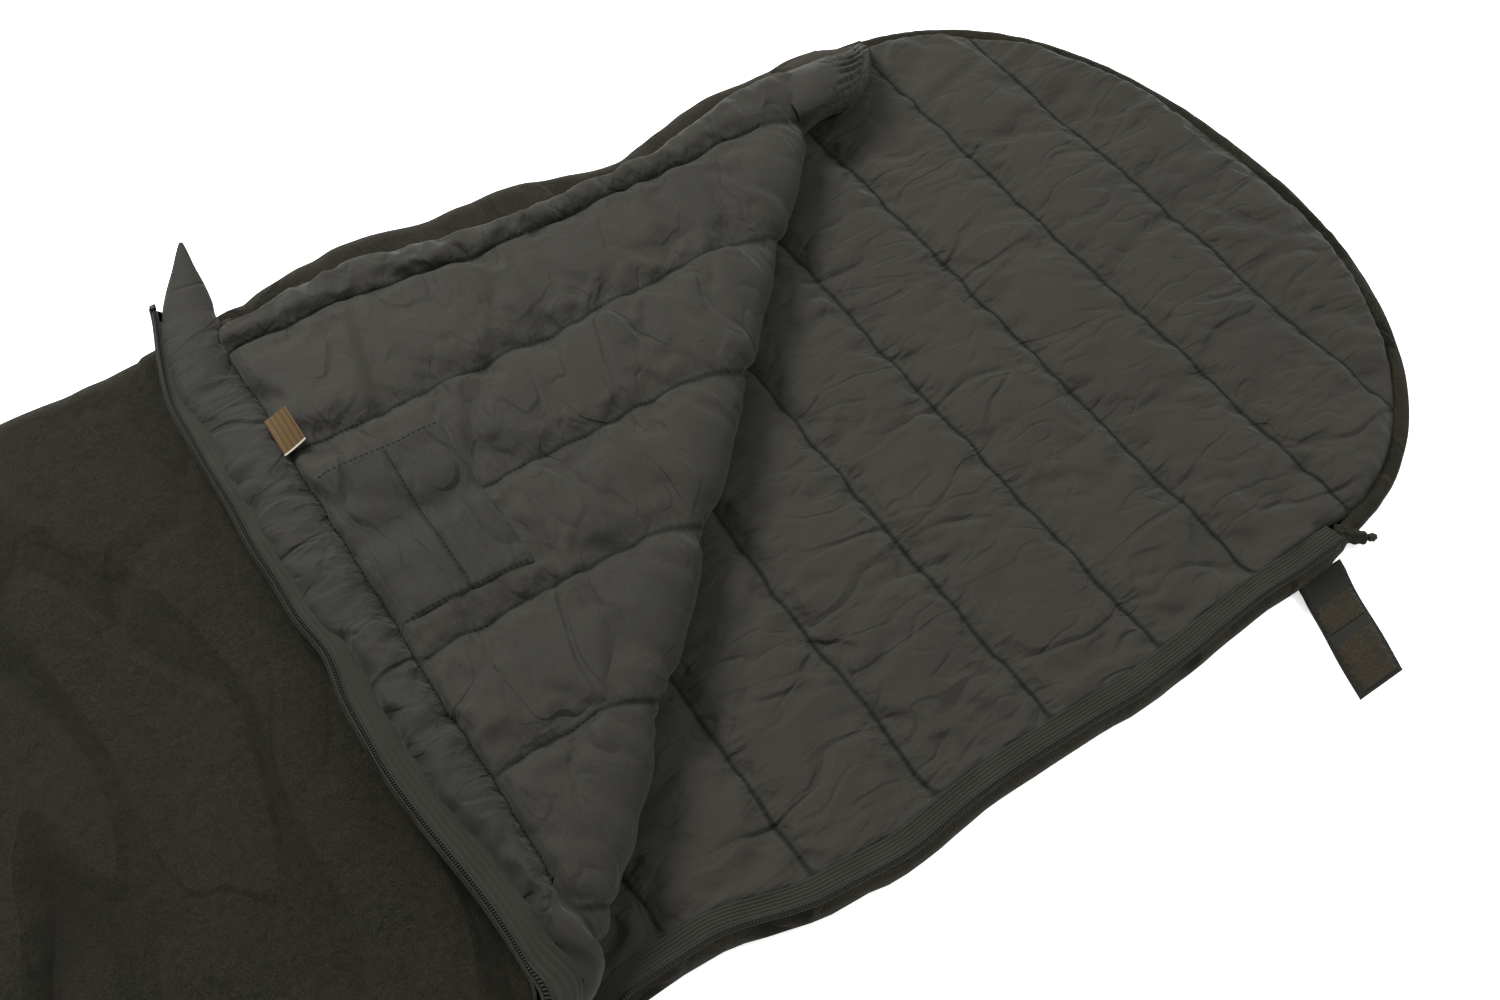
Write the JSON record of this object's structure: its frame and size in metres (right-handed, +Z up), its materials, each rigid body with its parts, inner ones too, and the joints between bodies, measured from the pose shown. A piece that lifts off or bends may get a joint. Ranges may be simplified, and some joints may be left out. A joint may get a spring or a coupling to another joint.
{
  "type": "hooded quilted bivy bag",
  "caption": "Rectangular quilted bivy bag with a half-round hood, unzipped along one side, its cover folded back along a diagonal; draft tube, pocket, zip slider and neck strap.",
  "frame": {"origin": "on the floor under the middle of the bag: half way along it and half way across it", "axes": "+X across the bag to the zip side, +Y along it to the crown of the hood, +Z up"},
  "size_m": [1.0797, 2.15, 0.1104],
  "materials": {
    "shell_fabric": "brushed, fleecy",
    "lining_fabric": "soft woven, matte",
    "batting": "lofty fibre fill",
    "trim_fabric": "ribbed, stitched",
    "zip_coil": "moulded coil",
    "zip_metal": "dark satin",
    "hook_and_loop": "short pile",
    "label_fabric": "satin woven",
    "cord": "braided",
    "lock_plastic": "moulded",
    "spring_steel": "drawn wire"
  },
  "bodies": {
    "bag": {"base_shell": "shell_fabric", "base_batting": "batting", "base_lining": "lining_fabric", "side_wrap": "shell_fabric", "cover_shell": "shell_fabric", "cover_batting": "batting", "cover_lining": "lining_fabric", "base_zip_facing": "trim_fabric", "base_zip_tape": "trim_fabric", "base_zip_coil": "zip_coil", "cover_zip_facing": "trim_fabric", "cover_zip_tape": "trim_fabric", "cover_zip_coil": "zip_coil", "zip_bottom_stop": "zip_metal", "lower_draft_tube_cover": "lining_fabric", "lower_draft_tube_filling": "batting", "cord_tail": "cord"},
    "flap": {"flap_shell": "shell_fabric", "flap_batting": "batting", "flap_lining": "lining_fabric", "flap_zip_facing": "trim_fabric", "flap_zip_tape": "trim_fabric", "flap_zip_coil": "zip_coil", "flap_top_stop": "zip_metal", "draft_tube_cover": "lining_fabric", "draft_tube_filling": "batting", "neck_tube_cover": "lining_fabric", "neck_tube_filling": "batting", "pocket": "lining_fabric", "pocket_hem": "lining_fabric", "care_label": "label_fabric", "strap_landing_patch": "hook_and_loop"},
    "hood": {"hood_shell": "shell_fabric", "hood_batting": "batting", "hood_lining": "lining_fabric", "hood_hem": "shell_fabric", "drawcord": "cord", "cord_knot": "cord"},
    "cord_lock": {"cord_lock_barrel": "lock_plastic", "cord_lock_spring": "spring_steel"},
    "lock_plunger": {"cord_lock_plunger": "lock_plastic"},
    "strap": {"neck_strap": "trim_fabric", "strap_hook_patch": "hook_and_loop", "strap_loop_patch": "hook_and_loop"},
    "slider": {"zip_slider": "zip_metal"},
    "outer_pull": {"zip_pull_outer": "zip_metal"},
    "inner_pull": {"zip_pull_inner": "zip_metal"}
  },
  "joints": [
    {"name": "cover_fold", "type": "hinge", "parent": "bag", "child": "flap", "pos_m": [0, 0.238, 0.0732], "axis": [-0.7071, 0.7071, 0], "range_deg": [0, 179.9]},
    {"name": "zip_run", "type": "slide", "parent": "bag", "child": "slider", "axis": [0, 1, 0], "range_m": [0, 0.935]},
    {"name": "outer_pull_swing", "type": "hinge", "parent": "slider", "child": "outer_pull", "pos_m": [0.468, -0.232, 0.039], "axis": [0, 0, 1], "range_deg": [0, 170]},
    {"name": "inner_pull_swing", "type": "hinge", "parent": "slider", "child": "inner_pull", "pos_m": [0.452, -0.232, 0.039], "axis": [0, 0, -1], "range_deg": [0, 15]},
    {"name": "hood_lift", "type": "hinge", "parent": "bag", "child": "hood", "pos_m": [0, 0.735, 0.034], "axis": [1, 0, 0], "range_deg": [0, 70]},
    {"name": "strap_fold", "type": "hinge", "parent": "bag", "child": "strap", "pos_m": [0.474, 0.69, 0.039], "axis": [0, -1, 0], "range_deg": [0, 178]},
    {"name": "cord_lock_run", "type": "slide", "parent": "bag", "child": "cord_lock", "axis": [0, -1, 0], "range_m": [0, 0.062]},
    {"name": "lock_press", "type": "slide", "parent": "cord_lock", "child": "lock_plunger", "axis": [0, 0, -1], "range_m": [0, 0.0034], "stiffness_N_per_m": 400, "springref_m": -0.004, "deforming": ["cord_lock_spring"]}
  ],
  "couplings": [
    {"joint": "zip_run", "follows": "cover_fold", "m_per_rad": 0.2973}
  ]
}
